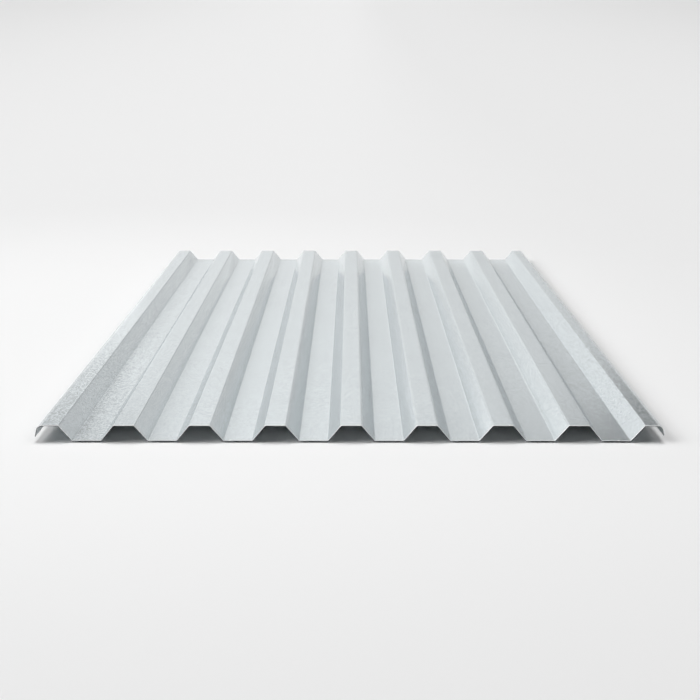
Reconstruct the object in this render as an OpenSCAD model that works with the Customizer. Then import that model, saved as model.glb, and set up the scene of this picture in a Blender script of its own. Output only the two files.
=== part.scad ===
// Trapezoidal profiled steel sheet for roofs and walls, roll-formed from one strip.
// It lies on its valleys, with its ribs along Y and the middle of its footprint at the origin.
// Sizes across the profile are taken at the middle of the metal's thickness.

/* [Sheet] */
// Length of the sheet, along its ribs
sheet_length = 1500; // [300:10:6000]
// Thickness of the metal
thickness = 1.5; // [0.5:0.1:2]

/* [Ribs] */
// Number of full ribs between the two edge ribs
rib_count = 7; // [1:1:12]
// Distance from one rib to the next
pitch = 126; // [120:1:160]
// Width of a rib's crest, between its bend lines
crest_width = 34; // [24:0.5:40]
// Width of a valley, between its bend lines
valley_width = 48.5; // [40:0.5:60]
// Height of a rib, from valley to crest
rib_height = 26.5; // [25:0.5:40]
// Radius inside the bends between crests, webs and valleys
bend_radius = 2.5; // [1:0.1:4]

/* [Side lap] */
// Width of the flat crest on the edge that lies under the next sheet
underlap_flat = 20.5; // [14:0.5:26]
// Radius inside the curve of the underlap's lip
underlap_lip_radius = 9; // [4:0.5:12]
// Length of the underlap's lip past its curve
underlap_lip = 9.5; // [4:0.5:13]
// How much wider the crest of the overlap edge is than the underlap crest that it covers
lap_room = 5.5; // [4:0.5:12]
// Radius inside the curve of the overlap's lip
overlap_lip_radius = 10; // [4:0.5:12]
// Length of the overlap's lip past its curve
overlap_lip = 11.5; // [4:0.5:13]
// Slope of both lips, in degrees below level
lip_angle = 76; // [50:1:85]

/* [Hidden] */

// Largest turn of one flat step around a bend, in degrees
bend_step = 9;

// The middle of the metal's thickness, in the valleys and on the crests
valley_level = thickness / 2;
crest_level = valley_level + rib_height;

mid_radius = bend_radius + thickness / 2;
web_run = (pitch - crest_width - valley_width) / 2;
edge_rib = (rib_count + 1) * pitch / 2;
edge_corner = edge_rib - crest_width / 2;
overlap_flat = underlap_flat + lap_room;

function heading(from, to) = atan2(to.y - from.y, to.x - from.x);

// The point at a distance to the left of a path that runs in the given direction
function beside(point, direction, distance) = point + distance * [-sin(direction), cos(direction)];

// A lip from the end of a crest's flat: the corner that its curve rounds off, then its tip
function lip(flat_end, inner_radius, past_curve) =
    let(tangent = (inner_radius + thickness / 2) * tan(lip_angle / 2), slope = tangent + past_curve)
    [
        [flat_end + tangent, crest_level],
        [flat_end + tangent + slope * cos(lip_angle), crest_level - slope * sin(lip_angle)]
    ];

// One full rib around x, from its left valley corner to its right valley corner
function rib(x) = [
    [x - crest_width / 2 - web_run, valley_level],
    [x - crest_width / 2, crest_level],
    [x + crest_width / 2, crest_level],
    [x + crest_width / 2 + web_run, valley_level]
];

overlap_points = lip(edge_corner + overlap_flat, overlap_lip_radius, overlap_lip);
underlap_points = lip(edge_corner + underlap_flat, underlap_lip_radius, underlap_lip);

// The sheet's path from the overlap's tip to the underlap's tip, with its bends still sharp
path = [
    for (i = [1:-1:0]) [-overlap_points[i].x, overlap_points[i].y],
    [-edge_corner, crest_level],
    [web_run - edge_corner, valley_level],
    for (i = [1:rib_count]) each rib(i * pitch - edge_rib),
    [edge_corner - web_run, valley_level],
    [edge_corner, crest_level],
    for (point = underlap_points) point
];
last = len(path) - 1;

function path_radius(i) =
    i == 1 ? overlap_lip_radius + thickness / 2
    : i == last - 1 ? underlap_lip_radius + thickness / 2
    : mid_radius;

// The bend at corner i of the path, followed at a distance to the left of it
function bend(i, distance) =
    let(
        start = heading(path[i - 1], path[i]),
        turn = heading(path[i], path[i + 1]) - start,
        radius = path_radius(i) * sign(turn),
        centre = beside(path[i], start + turn / 2, radius / cos(turn / 2)),
        steps = ceil(abs(turn) / bend_step)
    )
    [for (k = [0:steps]) beside(centre, start + turn * k / steps, distance - radius)];

// One surface of the sheet, from tip to tip
function surface_points(distance) = [
    beside(path[0], heading(path[0], path[1]), distance),
    for (i = [1:last - 1]) each bend(i, distance),
    beside(path[last], heading(path[last - 1], path[last]), distance)
];

function reversed(list) = [for (i = [len(list) - 1:-1:0]) list[i]];

upper_surface = surface_points(thickness / 2);
lower_surface = surface_points(-thickness / 2);
left_end = min(upper_surface[0].x, lower_surface[0].x);
right_end = max(upper_surface[len(upper_surface) - 1].x, lower_surface[len(lower_surface) - 1].x);

module sheet() {
    color("lightgrey")
        translate([-(left_end + right_end) / 2, 0, 0])
            rotate([90, 0, 0])
                linear_extrude(height = sheet_length, center = true)
                    polygon(concat(upper_surface, reversed(lower_surface)));
}

sheet();
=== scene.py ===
"""A trapezoidal galvanised steel sheet on a pale studio floor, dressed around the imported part."""

import math

import bpy
import numpy as np
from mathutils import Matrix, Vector


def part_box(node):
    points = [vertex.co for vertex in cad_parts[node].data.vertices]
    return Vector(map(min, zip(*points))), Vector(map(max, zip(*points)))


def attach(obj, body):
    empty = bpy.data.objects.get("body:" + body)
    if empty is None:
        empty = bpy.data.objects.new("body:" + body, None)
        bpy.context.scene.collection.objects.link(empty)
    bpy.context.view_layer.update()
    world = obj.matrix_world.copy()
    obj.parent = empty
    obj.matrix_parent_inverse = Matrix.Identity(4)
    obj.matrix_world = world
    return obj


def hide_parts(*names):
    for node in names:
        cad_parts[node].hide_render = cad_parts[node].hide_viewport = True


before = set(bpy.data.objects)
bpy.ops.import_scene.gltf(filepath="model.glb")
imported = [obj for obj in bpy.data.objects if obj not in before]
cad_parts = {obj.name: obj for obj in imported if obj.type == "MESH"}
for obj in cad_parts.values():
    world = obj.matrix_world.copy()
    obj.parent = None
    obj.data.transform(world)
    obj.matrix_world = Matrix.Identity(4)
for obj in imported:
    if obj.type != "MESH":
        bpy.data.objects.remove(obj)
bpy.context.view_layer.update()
sheet_low, sheet_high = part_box("sheet")

# Sizes of the rolled profile in metres, taken at the middle of the metal's thickness
THICKNESS = 0.0015
RIB_COUNT = 7
PITCH = 0.126
CREST_WIDTH = 0.034
VALLEY_WIDTH = 0.0485
RIB_HEIGHT = 0.0265
BEND_RADIUS = 0.0025
UNDERLAP_FLAT = 0.0205
UNDERLAP_LIP_RADIUS = 0.009
UNDERLAP_LIP = 0.0095
LAP_ROOM = 0.0055
OVERLAP_LIP_RADIUS = 0.010
OVERLAP_LIP = 0.0115
LIP_ANGLE = math.radians(76)

# How finely the sheet is meshed
BEND_STEP = math.radians(9)
FLAT_STEP = 0.008
BEND_MARGIN = 0.001
LENGTH_STEPS = 92

# Shearing rolls the upper edge over and leaves the lower one nearly sharp
ROLL_OVER = 0.0006
LOWER_ROUND = 0.0001
# How far inside a cut edge the mesh has more lines, to follow the rolled-over edge
ROLL_LINES = [share * ROLL_OVER for share in (0.13, 0.5, 1.0, 1.5)]
# A narrow rim along the two ends, rubbed by the shear, is painted brighter than the zinc as a highlight
RIM_WIDTH = 0.0016

# Gentle waves that rolling leaves in the flats: height and the lengths of the two waves
WAVE_HEIGHT = 0.00016
WAVE_LENGTHS = (0.41, 0.23)
WAVE_SEED = 11

# The order of the sheet's materials
ZINC_SLOT = 0
CUT_SLOT = 1
RIM_SLOT = 2

# Each point's place on the flat strip: across it, along it, and which side of it
PLACE_ATTRIBUTE = "strip_place"


def heading(start, end):
    """The direction from one point of the section to another."""
    return math.atan2(end[1] - start[1], end[0] - start[0])


def beside(point, along, distance):
    """The point at a distance to the left of a path that runs in a direction."""
    return np.array([point[0] - distance * math.sin(along), point[1] + distance * math.cos(along)])


def lip_corners(flat_end, level, inner_radius, past_curve):
    """The corner that a lip's curve rounds off, then the lip's tip."""
    tangent = (inner_radius + THICKNESS / 2) * math.tan(LIP_ANGLE / 2)
    slope = tangent + past_curve
    corner = flat_end + tangent
    return [
        (corner, level),
        (corner + slope * math.cos(LIP_ANGLE), level - slope * math.sin(LIP_ANGLE)),
    ]


def section_corners():
    """The section's path from the overlap's tip, with its bends still sharp, and the radius of each bend."""
    valley = THICKNESS / 2
    crest = valley + RIB_HEIGHT
    web_run = (PITCH - CREST_WIDTH - VALLEY_WIDTH) / 2
    edge_rib = (RIB_COUNT + 1) * PITCH / 2
    corner = edge_rib - CREST_WIDTH / 2
    overlap = lip_corners(corner + UNDERLAP_FLAT + LAP_ROOM, crest, OVERLAP_LIP_RADIUS, OVERLAP_LIP)
    underlap = lip_corners(corner + UNDERLAP_FLAT, crest, UNDERLAP_LIP_RADIUS, UNDERLAP_LIP)
    path = [(-x, z) for x, z in reversed(overlap)]
    path += [(-corner, crest), (web_run - corner, valley)]
    for i in range(1, RIB_COUNT + 1):
        left = i * PITCH - edge_rib - CREST_WIDTH / 2
        right = i * PITCH - edge_rib + CREST_WIDTH / 2
        path += [(left - web_run, valley), (left, crest), (right, crest), (right + web_run, valley)]
    path += [(corner - web_run, valley), (corner, crest)]
    path += underlap
    radii = [BEND_RADIUS + THICKNESS / 2] * len(path)
    radii[1] = OVERLAP_LIP_RADIUS + THICKNESS / 2
    radii[-2] = UNDERLAP_LIP_RADIUS + THICKNESS / 2
    return np.array(path), radii


def flat_places(length):
    """Places along a flat between two bends: its ends, a close line beside each bend, and even steps."""
    steps = max(1, round(length / FLAT_STEP))
    inner = np.linspace(BEND_MARGIN, length - BEND_MARGIN, steps + 1)
    return [0.0, *inner, length]


def edged(lines, spacing, distances):
    """Mesh lines with more at the given distances inside both ends, where the lines have this spacing."""
    near = np.array(distances) / spacing
    head = [lines[0] + share * (lines[1] - lines[0]) for share in near]
    tail = [lines[-1] + share * (lines[-2] - lines[-1]) for share in near[::-1]]
    return np.concatenate([lines[:1], head, lines[1:-1], tail, lines[-1:]])


def section():
    """The section as rows of x, z, direction and the number of the flat, or -1 in a bend."""
    path, radii = section_corners()
    last = len(path) - 1
    rows = []
    start = path[0]
    for i in range(1, last + 1):
        along = heading(path[i - 1], path[i])
        turn = 0.0
        end = path[i]
        if i < last:
            turn = heading(path[i], path[i + 1]) - along
            radius = radii[i] * np.sign(turn)
            centre = beside(path[i], along + turn / 2, radius / math.cos(turn / 2))
            end = beside(centre, along, -radius)
        unit = np.array([math.cos(along), math.sin(along)])
        for place in flat_places(np.linalg.norm(end - start)):
            rows.append((*(start + place * unit), along, i - 1))
        if i < last:
            steps = math.ceil(abs(turn) / BEND_STEP)
            for k in range(1, steps):
                turned = along + turn * k / steps
                rows.append((*beside(centre, turned, -radius), turned, -1))
            start = beside(centre, along + turn, -radius)
    return edged(np.array(rows), BEND_MARGIN, ROLL_LINES)


def flat_wave(rows, strip, places):
    """How far each point stands out of true: upwards in a valley, and towards the underside elsewhere."""
    rng = np.random.default_rng(WAVE_SEED)
    wave = np.zeros((len(rows), len(places)))
    for flat in range(int(rows[:, 3].max()) + 1):
        phases = rng.uniform(0, 2 * math.pi, len(WAVE_LENGTHS))
        members = np.flatnonzero(rows[:, 3] == flat)
        share = (strip[members] - strip[members[0]]) / np.ptp(strip[members])
        bulge = np.sin(math.pi * share) ** 2
        ripple = sum(np.sin(2 * math.pi * places / w + p) for w, p in zip(WAVE_LENGTHS, phases))
        inward = -np.sign(rows[members, 1].mean() - RIB_HEIGHT / 2)
        depth = (1 + ripple / len(WAVE_LENGTHS)) / 2
        wave[members] = inward * WAVE_HEIGHT * bulge[:, None] * depth[None, :]
    return wave


def edge_distance(lines):
    """How far each mesh line is from the nearer end."""
    return np.minimum(lines - lines[0], lines[-1] - lines)


def edge_drop(distances, radius):
    """How far a surface is rolled down at each distance from a cut edge."""
    inside = np.clip(radius - distances, 0.0, radius)
    return radius - np.sqrt(radius ** 2 - inside ** 2)


def sheet_points(rows, strip, places):
    """The points of the upper and then the lower surface, and their places on the flat strip."""
    x, z, along = (rows[:, [column]] for column in range(3))
    wave = flat_wave(rows, strip, places)
    y = np.broadcast_to(places, wave.shape)
    across = np.broadcast_to(strip[:, None], wave.shape)
    points = []
    strip_places = []
    for side, radius in ((1, ROLL_OVER), (-1, LOWER_ROUND)):
        row_drop = edge_drop(edge_distance(strip), radius)
        place_drop = edge_drop(edge_distance(places), radius)
        off = wave + side * (THICKNESS / 2 - np.maximum(row_drop[:, None], place_drop[None, :]))
        points.append(np.stack([x - np.sin(along) * off, y, z + np.cos(along) * off], axis=2))
        strip_places.append(np.stack([across, y, np.full(wave.shape, side)], axis=2))
    points = np.concatenate(points).reshape(-1, 3)
    points[:, 0] += (sheet_low.x + sheet_high.x - points[:, 0].min() - points[:, 0].max()) / 2
    return points, np.concatenate(strip_places).reshape(-1, 3)


def quads(*corners):
    """Four-sided faces from four arrays of point numbers."""
    return np.stack(corners, axis=-1).reshape(-1, 4)


def sheet_faces(over):
    """The faces of the upper surface, the lower surface and the cuts, from the upper points' numbers."""
    under = over + over.size
    upper = quads(over[:-1, :-1], over[1:, :-1], over[1:, 1:], over[:-1, 1:])
    lower = upper[:, ::-1] + over.size
    cuts = [
        quads(over[1:, 0], over[:-1, 0], under[:-1, 0], under[1:, 0]),
        quads(over[:-1, -1], over[1:, -1], under[1:, -1], under[:-1, -1]),
        quads(over[0, :-1], over[0, 1:], under[0, 1:], under[0, :-1]),
        quads(over[-1, 1:], over[-1, :-1], under[-1, :-1], under[-1, 1:]),
    ]
    return upper, lower, np.concatenate(cuts)


def sheet_mesh():
    """The whole sheet as one closed mesh of zinc, with cut faces and rims that carry a painted highlight."""
    rows = section()
    steps = np.linalg.norm(np.diff(rows[:, :2], axis=0), axis=1)
    strip = np.concatenate([[0.0], np.cumsum(steps)])
    places = np.linspace(sheet_low.y, sheet_high.y, LENGTH_STEPS + 1)
    places = edged(places, places[1] - places[0], [*ROLL_LINES, RIM_WIDTH])
    points, strip_places = sheet_points(rows, strip, places)
    over = np.arange(len(rows) * len(places)).reshape(len(rows), len(places))
    upper, lower, cuts = sheet_faces(over)

    faces = np.concatenate([upper, lower, cuts])
    material = np.full(len(faces), ZINC_SLOT, dtype=np.int32)
    material[len(upper) + len(lower):] = CUT_SLOT
    ends = edge_distance(places)
    rim = np.broadcast_to((ends[:-1] + ends[1:]) / 2 < RIM_WIDTH, over[:-1, :-1].shape)
    material[:len(upper)][rim.ravel()] = RIM_SLOT

    mesh = bpy.data.meshes.new("profiled_sheet")
    mesh.from_pydata(points.tolist(), [], faces.tolist())
    mesh.polygons.foreach_set("material_index", material)
    mesh.polygons.foreach_set("use_smooth", material != CUT_SLOT)
    place = mesh.attributes.new(PLACE_ATTRIBUTE, "FLOAT_VECTOR", "POINT")
    place.data.foreach_set("vector", strip_places.ravel())
    mesh.update()
    return mesh


# Most of a noise texture's values lie in this range
NOISE_RANGE = (0.3, 0.7)
UNIT_RANGE = (0.0, 1.0)
WHITE = (1.0, 1.0, 1.0, 1.0)


class Nodes:
    """Short calls for making a node tree."""

    def __init__(self, tree):
        self.tree = tree
        tree.nodes.clear()

    def add(self, kind, inputs=None, **settings):
        """A new node, with a value or a link for each of the inputs."""
        node = self.tree.nodes.new(kind)
        for name, value in settings.items():
            setattr(node, name, value)
        for name, value in (inputs or {}).items():
            if isinstance(value, bpy.types.NodeSocket):
                self.tree.links.new(value, node.inputs[name])
            else:
                node.inputs[name].default_value = value
        return node

    def end(self, shader, kind="ShaderNodeOutputMaterial"):
        """The tree's output, linked to a shader."""
        self.add(kind, {"Surface": shader.outputs[0]})

    def maths(self, operation, *values):
        """A number worked out from other numbers."""
        return self.add("ShaderNodeMath", dict(enumerate(values)), operation=operation).outputs["Value"]

    def vectors(self, operation, *values):
        """A vector worked out from other vectors."""
        node = self.add("ShaderNodeVectorMath", dict(enumerate(values)), operation=operation)
        return node.outputs["Vector"]

    def measure(self, operation, first, second):
        """A number worked out from two vectors."""
        node = self.add("ShaderNodeVectorMath", {0: first, 1: second}, operation=operation)
        return node.outputs["Value"]

    def scaled(self, vector, scale):
        """A vector times a number."""
        node = self.add("ShaderNodeVectorMath", {0: vector, "Scale": scale}, operation="SCALE")
        return node.outputs["Vector"]

    def split(self, vector):
        """The three parts of a vector."""
        return self.add("ShaderNodeSeparateXYZ", {"Vector": vector}).outputs

    def noise(self, place, scale, detail):
        """Soft noise over a place."""
        inputs = {"Vector": place, "Scale": scale, "Detail": detail}
        return self.add("ShaderNodeTexNoise", inputs).outputs["Fac"]

    def span(self, value, limits, results, **settings):
        """The value carried from one range to another, evenly unless the settings say otherwise."""
        inputs = {
            "Value": value,
            "From Min": limits[0],
            "From Max": limits[1],
            "To Min": results[0],
            "To Max": results[1],
        }
        return self.add("ShaderNodeMapRange", inputs, **settings).outputs["Result"]

    def ramp(self, value, limits, low, high):
        """A smooth step from low to high while the value goes from one limit to the other."""
        return self.span(value, limits, (low, high), interpolation_type="SMOOTHSTEP")


def new_material(name):
    """A new material and its empty node tree."""
    material = bpy.data.materials.new(name)
    material.use_nodes = True
    return material, Nodes(material.node_tree)


def new_object(name, data):
    """A new object in the scene."""
    thing = bpy.data.objects.new(name, data)
    bpy.context.scene.collection.objects.link(thing)
    return thing


# The zinc's colour, the share of it that mirrors as bare metal, and the tint of what it mirrors
ZINC_COLOUR = (0.643, 0.690, 0.708)
METAL_SHARE = 0.7
SPECULAR_TINT = (0.92, 0.92, 0.92, 1.0)
# The crystals of the spangle, and the mean of the random numbers that each of them has
CRYSTALS_PER_METRE = 420.0
CRYSTAL_TILT = 0.02
CRYSTAL_ROUGHNESS = (0.23, 0.27)
MEAN_CHANCE = 0.5
# The spangle is faint, and stronger on the flats near the strip's two edges, towards the front end
CRYSTAL_TONE = (0.18, 0.52)
FAINTEST_PLACE = 0.65
EDGE_REACH = (0.44, 0.58)
FLAT_REACH = (0.70, 0.95)
WEB_SHARE = 0.3
FRONT_END_REACH = (0.3, -0.65)
BACK_SHARE = 0.25
# Faint blotches, and streaks along the ribs
BLOTCHES_PER_METRE = 9.0
BLOTCH_DETAIL = 3.0
BLOTCH_TONE = (0.985, 1.015)
STREAK_STRETCH = (70.0, 1.1, 1.0)
STREAK_SCALE = 1.0
STREAK_DETAIL = 2.0
STREAK_TONE = (0.99, 1.01)


def zinc_material():
    """Hot-dip zinc: satin metal with a fine spangle, laid on the strip before it was rolled."""
    material, n = new_material("galvanised_zinc")
    place = n.add("ShaderNodeAttribute", attribute_name=PLACE_ATTRIBUTE).outputs["Vector"]
    across, along, _ = n.split(place)
    facing = n.add("ShaderNodeNewGeometry").outputs["Normal"]
    _, _, upward = n.split(facing)
    crystals = n.add("ShaderNodeTexVoronoi", {"Vector": place, "Scale": CRYSTALS_PER_METRE})
    chances = crystals.outputs["Color"]
    tone_chance, roughness_chance, _ = n.split(chances)

    off_middle = n.maths("ABSOLUTE", n.maths("SUBTRACT", across, FAINTEST_PLACE))
    strong = n.ramp(off_middle, EDGE_REACH, 0.0, 1.0)
    flatness = n.ramp(n.maths("ABSOLUTE", upward), FLAT_REACH, WEB_SHARE, 1.0)
    strong = n.maths("MULTIPLY", strong, flatness)
    strong = n.maths("MULTIPLY", strong, n.ramp(along, FRONT_END_REACH, BACK_SHARE, 1.0))
    amount = n.span(strong, UNIT_RANGE, CRYSTAL_TONE)
    tone = n.maths("MULTIPLY_ADD", n.maths("SUBTRACT", tone_chance, MEAN_CHANCE), amount, 1.0)
    blotch = n.noise(place, BLOTCHES_PER_METRE, BLOTCH_DETAIL)
    tone = n.maths("MULTIPLY", tone, n.span(blotch, NOISE_RANGE, BLOTCH_TONE))
    streak = n.noise(n.vectors("MULTIPLY", place, STREAK_STRETCH), STREAK_SCALE, STREAK_DETAIL)
    tone = n.maths("MULTIPLY", tone, n.span(streak, NOISE_RANGE, STREAK_TONE))

    tilt = n.scaled(n.vectors("SUBTRACT", chances, (MEAN_CHANCE,) * 3), CRYSTAL_TILT)
    shader = n.add(
        "ShaderNodeBsdfPrincipled",
        {
            "Base Color": n.scaled(ZINC_COLOUR, tone),
            "Metallic": METAL_SHARE,
            "Roughness": n.span(roughness_chance, UNIT_RANGE, CRYSTAL_ROUGHNESS),
            "Specular Tint": SPECULAR_TINT,
            "Normal": n.vectors("NORMALIZE", n.vectors("ADD", facing, tilt)),
        },
    )
    n.end(shader)
    return material


# The torn steel of the cut edges, painted near black as shade for the dark line along them
CUT_SHADE_COLOUR = (0.012, 0.0125, 0.014)
CUT_TONE = (0.6, 1.4)
CUT_ROUGHNESS = (0.55, 0.75)
CUT_SHEEN = 0.08
TEARS_PER_METRE = 420.0
TEAR_DETAIL = 2.0


def cut_material():
    """Bare sheared steel on the cut edges, painted near black as shade for the dark line along them."""
    material, n = new_material("cut_edge")
    place = n.add("ShaderNodeNewGeometry").outputs["Position"]
    tear = n.noise(place, TEARS_PER_METRE, TEAR_DETAIL)
    shader = n.add(
        "ShaderNodeBsdfPrincipled",
        {
            "Base Color": n.scaled(CUT_SHADE_COLOUR, n.span(tear, NOISE_RANGE, CUT_TONE)),
            "Roughness": n.span(tear, NOISE_RANGE, CUT_ROUGHNESS),
            "Specular IOR Level": CUT_SHEEN,
        },
    )
    n.end(shader)
    return material


# The rubbed zinc of the rims, painted near white as a highlight along the two ends
RIM_HIGHLIGHT_COLOUR = (0.93, 0.95, 0.96, 1.0)
RIM_ROUGHNESS = (0.16, 0.30)
SCUFFS_PER_METRE = 160.0
SCUFF_DETAIL = 2.0


def rim_material():
    """Zinc that the shear has rubbed, painted bright as a highlight along the two ends."""
    material, n = new_material("burnished_rim_painted_highlight")
    place = n.add("ShaderNodeAttribute", attribute_name=PLACE_ATTRIBUTE).outputs["Vector"]
    scuff = n.noise(place, SCUFFS_PER_METRE, SCUFF_DETAIL)
    shader = n.add(
        "ShaderNodeBsdfPrincipled",
        {
            "Base Color": RIM_HIGHLIGHT_COLOUR,
            "Metallic": METAL_SHARE,
            "Roughness": n.span(scuff, NOISE_RANGE, RIM_ROUGHNESS),
        },
    )
    n.end(shader)
    return material


def make_sheet():
    """The sheet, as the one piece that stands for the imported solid."""
    sheet = new_object("profiled_sheet", sheet_mesh())
    for material in (zinc_material(), cut_material(), rim_material()):
        sheet.data.materials.append(material)
    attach(sheet, "root")
    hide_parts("sheet")
    return sheet


# The stage: a pale floor a little below the sheet, so that a dark line shows under the valleys
FLOOR_GAP = 0.0027
FLOOR_FLAT = 4.0
FLOOR_RADIUS = 45.0
FLOOR_RISE = 2.6
FLOOR_CURVE = 1.5
FLOOR_SIDES = 96
FLOOR_RINGS = 16
# The floor's brightness, with a painted pool of light left of the sheet and painted shade to the front, to
# the right and far off behind
FLOOR_LEVEL = 0.888
FLOOR_GLOW = 0.085
FLOOR_GLOW_PLACE = (-0.7, 0.0, 0.0)
FLOOR_GLOW_REACH = (2.0, 0.3)
FRONT_SHADE = -0.06
FRONT_REACH = (-0.85, -1.65)
RIGHT_SHADE = -0.045
RIGHT_REACH = (-0.3, 1.3)
FAR_SHADE = -0.105
FAR_REACH = (0.8, 14.0)
BEHIND_REACH = (0.0, 3.0)


def floor_material():
    """A matt floor whose colour carries soft painted light and shade that change with the place."""
    material, n = new_material("studio_floor")
    place = n.add("ShaderNodeNewGeometry").outputs["Position"]
    side, depth, _ = n.split(place)
    away = n.measure("DISTANCE", place, FLOOR_GLOW_PLACE)
    level = n.maths("ADD", n.ramp(away, FLOOR_GLOW_REACH, 0.0, FLOOR_GLOW), FLOOR_LEVEL)
    level = n.maths("ADD", level, n.ramp(depth, FRONT_REACH, 0.0, FRONT_SHADE))
    level = n.maths("ADD", level, n.ramp(side, RIGHT_REACH, 0.0, RIGHT_SHADE))
    aside = n.ramp(n.maths("ABSOLUTE", side), FAR_REACH, 0.0, FAR_SHADE)
    behind = n.ramp(depth, BEHIND_REACH, 0.0, 1.0)
    level = n.maths("ADD", level, n.maths("MULTIPLY", aside, behind))
    n.end(n.add("ShaderNodeBsdfDiffuse", {"Color": level}))
    return material


def make_floor():
    """A round floor, flat under the sheet, with a far rim that rises to fill the picture's top."""
    points = [(0.0, 0.0, -FLOOR_GAP)]
    for k in range(FLOOR_RINGS + 1):
        share = k / FLOOR_RINGS
        radius = FLOOR_FLAT + share * (FLOOR_RADIUS - FLOOR_FLAT)
        height = FLOOR_RISE * share ** FLOOR_CURVE - FLOOR_GAP
        for i in range(FLOOR_SIDES):
            turn = 2 * math.pi * i / FLOOR_SIDES
            points.append((radius * math.cos(turn), radius * math.sin(turn), height))
    faces = []
    for i in range(FLOOR_SIDES):
        j = (i + 1) % FLOOR_SIDES
        faces.append((0, 1 + i, 1 + j))
        for k in range(FLOOR_RINGS):
            low = 1 + k * FLOOR_SIDES
            high = low + FLOOR_SIDES
            faces.append((low + i, high + i, high + j, low + j))
    mesh = bpy.data.meshes.new("floor")
    mesh.from_pydata(points, [], faces)
    mesh.shade_smooth()
    mesh.materials.append(floor_material())
    floor = new_object("floor", mesh)
    return floor


# What the metal mirrors: a pale studio, brighter to the left
STUDIO_LEVEL = 0.72
LEFT_GLOW = 0.27
LEFT_EDGE = (-0.28, -0.44)
# A dark screen behind to the right, whose edge leans with height
SCREEN_LEAN = 1.7
SCREEN_EDGE = (0.86, 0.97)
SCREEN_DEPTH = (0.3, 0.6)
SCREEN_TOP = (0.64, 0.50)
# A ring of light overhead
RING_GLOW = 0.35
RING_FOOT = (0.60, 0.74)
RING_TOP = (0.98, 0.92)
# Soft panels: turn, rise, outer and inner half-width in degrees, and level, below zero for a black panel
PANELS = (
    (-14.0, 28.5, 29.5, 5.0, 0.50),
    (12.5, 0.0, 8.5, 1.5, 1.20),
    (11.5, 18.0, 8.5, 1.5, 0.08),
    (-27.0, 27.0, 19.0, 3.0, -0.78),
    (25.0, 10.0, 9.0, 2.0, 0.40),
)
# What the camera sees past the floor
BACKDROP_LEVEL = 0.86


def towards(turn, rise):
    """A unit vector, by its turn to the right of straight back and its rise, in degrees."""
    turn = math.radians(turn)
    rise = math.radians(rise)
    return Vector((math.sin(turn) * math.cos(rise), math.cos(turn) * math.cos(rise), math.sin(rise)))


def studio_level(n, aim):
    """How bright the studio is in the direction that a mirrored ray aims."""
    side, depth, height = n.split(aim)
    level = n.maths("ADD", n.ramp(side, LEFT_EDGE, 0.0, LEFT_GLOW), STUDIO_LEVEL)
    for turn, rise, outer, inner, strength in PANELS:
        near = n.measure("DOT_PRODUCT", aim, towards(turn, rise))
        edge = [math.cos(math.radians(angle)) for angle in (outer, inner)]
        level = n.maths("ADD", level, n.ramp(near, edge, 0.0, strength))

    leaning = n.maths("MULTIPLY_ADD", height, SCREEN_LEAN, side)
    screen = n.ramp(leaning, SCREEN_EDGE, 0.0, 1.0)
    screen = n.maths("MULTIPLY", screen, n.ramp(depth, SCREEN_DEPTH, 0.0, 1.0))
    screen = n.maths("MULTIPLY", screen, n.ramp(height, SCREEN_TOP, 0.0, 1.0))
    level = n.maths("MULTIPLY", n.maths("MAXIMUM", level, 0.0), n.maths("SUBTRACT", 1.0, screen))

    ring = n.ramp(height, RING_FOOT, 0.0, RING_GLOW)
    ring = n.maths("MULTIPLY", ring, n.ramp(height, RING_TOP, 0.0, 1.0))
    return n.maths("ADD", level, ring)


def make_world():
    """The studio for mirrored rays, and a plain backdrop for the camera. The lamps light what is matt."""
    world = bpy.data.worlds.new("studio")
    world.use_nodes = True
    world.cycles_visibility.diffuse = False
    n = Nodes(world.node_tree)
    level = studio_level(n, n.add("ShaderNodeTexCoord").outputs["Generated"])
    seen = n.add("ShaderNodeLightPath").outputs["Is Camera Ray"]
    inputs = {"Factor": seen, "A": level, "B": BACKDROP_LEVEL}
    shown = n.add("ShaderNodeMix", inputs, data_type="FLOAT").outputs["Result"]
    n.end(n.add("ShaderNodeBackground", {"Color": WHITE, "Strength": shown}), "ShaderNodeOutputWorld")
    bpy.context.scene.world = world


# Upright cards behind the sheet, near enough that each is mirrored by one part of it only.
# Each has a name, how far back it stands, its left and bottom, its right and top, and its level.
CARDS = (
    ("black_flag", 2.0, (1.12, 0.88), (2.4, 2.0), 0.0),
    ("white_card", 2.0, (-1.42, 0.1), (-0.92, 0.62), 1.6),
    ("end_strip", 0.82, (-0.45, 0.0), (0.65, 0.03), 1.05),
)


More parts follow.
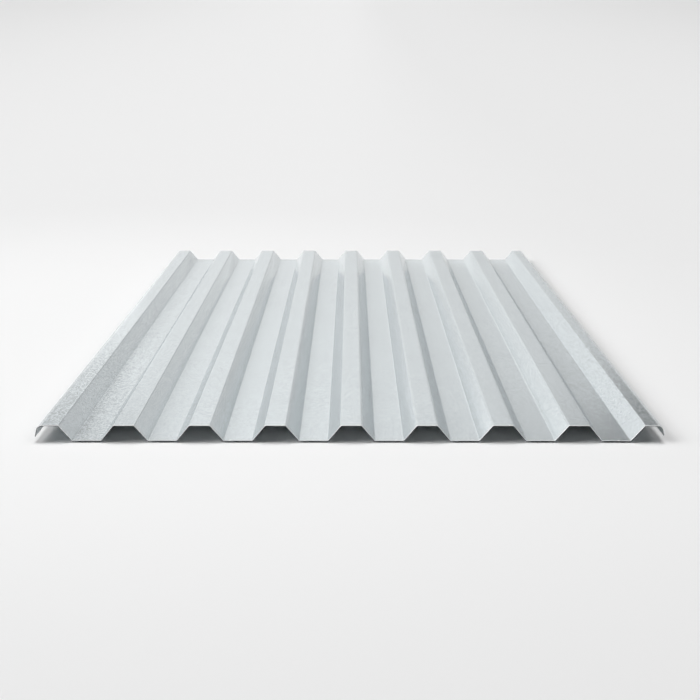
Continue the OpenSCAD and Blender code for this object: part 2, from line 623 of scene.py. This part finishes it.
def make_card(name, back, low, high, level):
    """A card that only mirrored rays see."""
    material, n = new_material(name)
    n.end(n.add("ShaderNodeEmission", {"Color": WHITE, "Strength": level}))
    corners = [(low[0], low[1]), (high[0], low[1]), (high[0], high[1]), (low[0], high[1])]
    mesh = bpy.data.meshes.new(name)
    mesh.from_pydata([(x, back, z) for x, z in corners], [], [(0, 1, 2, 3)])
    mesh.materials.append(material)
    card = new_object(name, mesh)
    card.visible_camera = False
    card.visible_diffuse = False
    card.visible_shadow = False


# Wide soft lamps for the sheet and for the floor: name, turn, rise and width in degrees, and strength
SHEET_LAMPS = (
    ("key_left", -84.0, 36.0, 36.0, 3.1),
    ("top_back", 0.0, 82.0, 34.0, 0.75),
)
FLOOR_LAMPS = (
    ("floor_left", -94.0, 36.0, 36.0, 2.0),
    ("floor_top", 0.0, 78.0, 34.0, 1.44),
    ("floor_right", 90.0, 42.0, 36.0, 0.67),
)


def make_lamps(lit, lamps):
    """Even light for the floor, or for the matt share of the metal, which doesn't mirror these lamps."""
    receivers = bpy.data.collections.new(lit.name + "_only")
    receivers.objects.link(lit)
    for name, turn, rise, width, strength in lamps:
        data = bpy.data.lights.new(name, "SUN")
        data.angle = math.radians(width)
        data.energy = strength
        lamp = new_object(name, data)
        lamp.rotation_euler = towards(turn, rise).to_track_quat("Z", "Y").to_euler()
        lamp.visible_glossy = False
        lamp.light_linking.receiver_collection = receivers


# The camera, from the photograph's vanishing point and the sheet's two ends
CAMERA_LENS = 54.15
CAMERA_SENSOR = 36.0
CAMERA_PLACE = (0.00306, -2.38762, 0.64259)
CAMERA_TILT = math.radians(16.47)
CAMERA_TURN = math.radians(0.067)


def make_camera():
    """The camera in front of the sheet, tilted down at it."""
    data = bpy.data.cameras.new("camera")
    data.lens = CAMERA_LENS
    data.sensor_width = CAMERA_SENSOR
    camera = new_object("camera", data)
    camera.location = CAMERA_PLACE
    camera.rotation_euler = (math.pi / 2 - CAMERA_TILT, 0.0, CAMERA_TURN)
    bpy.context.scene.camera = camera


make_camera()
sheet = make_sheet()
floor = make_floor()
make_world()
for card in CARDS:
    make_card(*card)
make_lamps(sheet, SHEET_LAMPS)
make_lamps(floor, FLOOR_LAMPS)
bpy.context.scene.view_settings.view_transform = "Standard"
